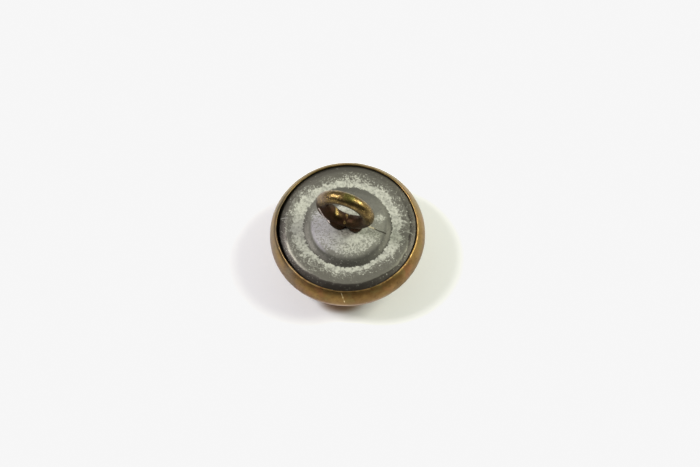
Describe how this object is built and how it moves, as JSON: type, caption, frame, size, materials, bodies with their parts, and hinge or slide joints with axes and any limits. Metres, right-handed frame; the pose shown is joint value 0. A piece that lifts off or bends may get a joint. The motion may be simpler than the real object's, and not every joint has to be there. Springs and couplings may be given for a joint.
{
  "type": "sew-on shank button",
  "caption": "Round metal shank button: domed brass front shell curled over a tinned steel back plate, with a swivelling brass wire loop.",
  "frame": {"origin": "apex of the domed front, where the button rests when it lies face down", "axes": "+Z along the button's axis, from the domed front through the back plate to the wire loop; the loop's flat side turns 19.5 degrees from the XZ plane at rest"},
  "size_m": [0.019, 0.019, 0.0147],
  "materials": {
    "shell_brass": "satin",
    "tinned_plate": "satin",
    "loop_brass": "satin",
    "washer_steel": "satin",
    "board": "matte",
    "pad": "matte"
  },
  "bodies": {
    "button": {"front_shell": "shell_brass", "back_plate": "tinned_plate", "clinch_washer": "washer_steel", "filler_board": "board", "filler_pad": "pad"},
    "shank": {"shank_loop": "loop_brass"}
  },
  "joints": [
    {"name": "shank_swivel", "type": "hinge", "parent": "button", "child": "shank", "pos_m": [0, 0, 0.0067], "axis": [0, 0, 1], "continuous": true}
  ]
}
